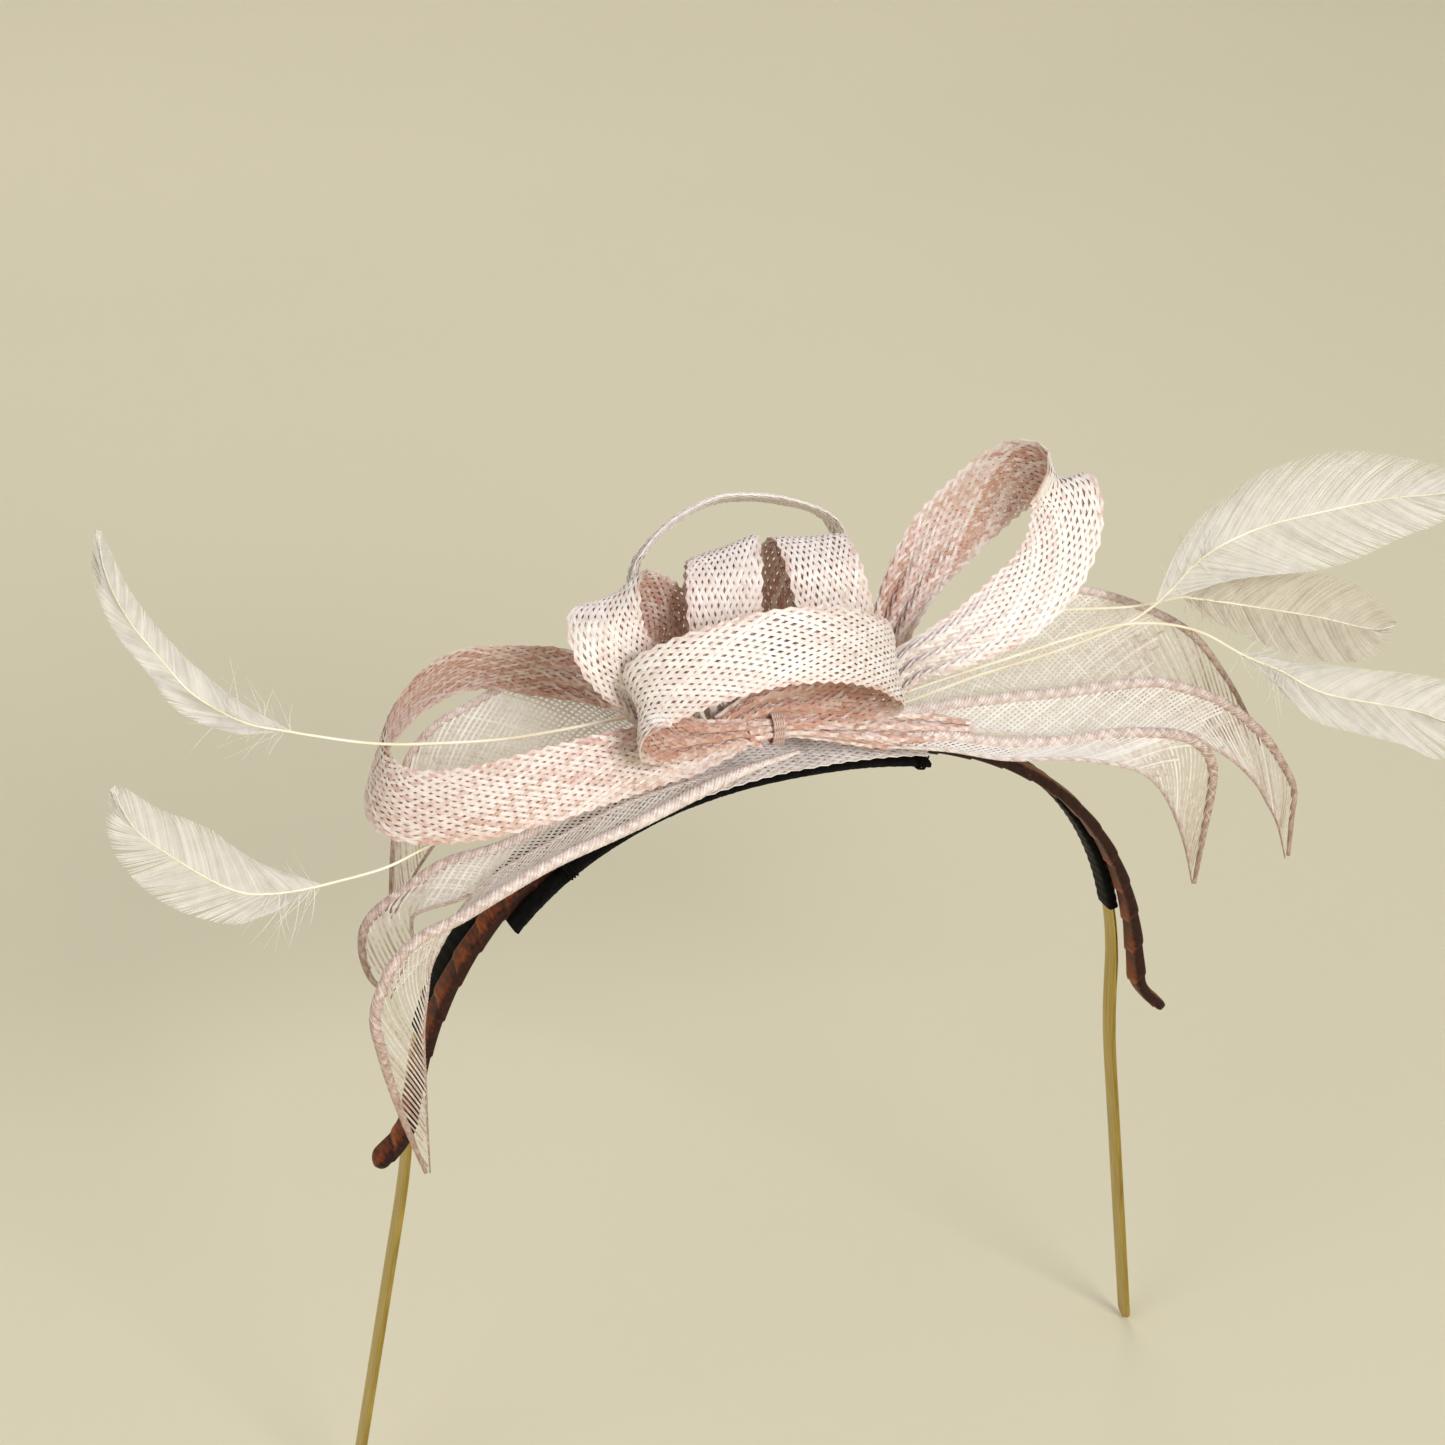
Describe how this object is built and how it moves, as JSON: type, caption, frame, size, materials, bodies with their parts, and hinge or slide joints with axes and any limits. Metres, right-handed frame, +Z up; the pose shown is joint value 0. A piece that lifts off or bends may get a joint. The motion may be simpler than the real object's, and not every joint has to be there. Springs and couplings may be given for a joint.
{
  "type": "fascinator headpiece",
  "caption": "Bow-shaped sinamay fascinator with curled loops, sheer drooping leaves and feathers on two slim springy headbands.",
  "frame": {"origin": "centre of the flat facet under the felt pad, where it rests on the crown of the head", "axes": "+Z up, the wearer faces -Y, +X from the wearer's right ear to the left ear"},
  "size_m": [0.2799, 0.0549, 0.2141],
  "materials": {
    "sinamay_ribbon": "open bias weave, satin sheen",
    "sinamay_leaf": "single sheer layer with rolled hems",
    "feather": "soft translucent barbs",
    "quill": "smooth horn",
    "brown_ribbon": "satin ribbon wound on the slant",
    "band_steel": "plain spring strip",
    "gold_metal": "polished gold tone",
    "black_satin": "satin ribbon and thread",
    "black_felt": "matt felt",
    "pink_thread": "twisted thread"
  },
  "bodies": {
    "headpiece": {"felt_pad": "black_felt", "sinamay_base": "sinamay_ribbon", "brown_wrap_crown": "brown_ribbon", "band_core_crown": "band_steel", "black_sleeve_crown": "black_satin", "gold_band_crown": "gold_metal", "left_side_loop": "sinamay_ribbon", "curl_loop": "sinamay_ribbon", "arc_loop": "sinamay_ribbon", "middle_left_loop": "sinamay_ribbon", "middle_right_loop": "sinamay_ribbon", "front_loop": "sinamay_ribbon", "right_tall_loop": "sinamay_ribbon", "centre_knot": "sinamay_ribbon", "knot_binding": "pink_thread", "band_tie_left": "black_satin", "band_tie_right": "black_satin", "leaf_left_back": "sinamay_leaf", "leaf_left_middle": "sinamay_leaf", "leaf_left_front": "sinamay_leaf", "leaf_right_back": "sinamay_leaf", "leaf_right_long": "sinamay_leaf", "leaf_right_short": "sinamay_leaf"},
    "left_arm": {"brown_wrap_left": "brown_ribbon", "band_core_left": "band_steel", "band_tip_left": "brown_ribbon", "black_sleeve_left": "black_satin", "gold_band_left": "gold_metal"},
    "right_arm": {"brown_wrap_right": "brown_ribbon", "band_core_right": "band_steel", "band_tip_right": "brown_ribbon", "black_sleeve_right": "black_satin", "gold_band_right": "gold_metal"},
    "feather_left_upper": {"feather_left_upper_quill": "quill", "feather_left_upper_vane": "feather"},
    "feather_left_lower": {"feather_left_lower_quill": "quill", "feather_left_lower_vane": "feather"},
    "feather_right_upper": {"feather_right_upper_quill": "quill", "feather_right_upper_vane": "feather"},
    "feather_right_middle": {"feather_right_middle_quill": "quill", "feather_right_middle_vane": "feather"},
    "feather_right_lower": {"feather_right_lower_quill": "quill", "feather_right_lower_vane": "feather"}
  },
  "joints": [
    {"name": "left_arm_spring", "type": "hinge", "parent": "headpiece", "child": "left_arm", "pos_m": [-0.0615, 0, -0.02249], "axis": [0, 1, 0], "range_deg": [0, 8], "stiffness_Nm_per_rad": 0.6},
    {"name": "right_arm_spring", "type": "hinge", "parent": "headpiece", "child": "right_arm", "pos_m": [0.0615, 0, -0.02249], "axis": [0, -1, 0], "range_deg": [0, 8], "stiffness_Nm_per_rad": 0.6},
    {"name": "feather_left_upper_sway", "type": "hinge", "parent": "headpiece", "child": "feather_left_upper", "pos_m": [-0.035, -0.004, 0.018], "axis": [0, 0, 1], "range_deg": [-5, 5], "stiffness_Nm_per_rad": 0.004},
    {"name": "feather_left_lower_sway", "type": "hinge", "parent": "headpiece", "child": "feather_left_lower", "pos_m": [-0.047, -0.002, 0.0016], "axis": [0, 0, 1], "range_deg": [-5, 5], "stiffness_Nm_per_rad": 0.004},
    {"name": "feather_right_upper_sway", "type": "hinge", "parent": "headpiece", "child": "feather_right_upper", "pos_m": [0.022, -0.002, 0.0115], "axis": [0, 0, 1], "range_deg": [-5, 5], "stiffness_Nm_per_rad": 0.004},
    {"name": "feather_right_middle_sway", "type": "hinge", "parent": "headpiece", "child": "feather_right_middle", "pos_m": [0.02, 0.001, 0.0185], "axis": [0, 0, 1], "range_deg": [-5, 5], "stiffness_Nm_per_rad": 0.004},
    {"name": "feather_right_lower_sway", "type": "hinge", "parent": "headpiece", "child": "feather_right_lower", "pos_m": [0.02, -0.004, 0.0145], "axis": [0, 0, 1], "range_deg": [-5, 5], "stiffness_Nm_per_rad": 0.004}
  ]
}
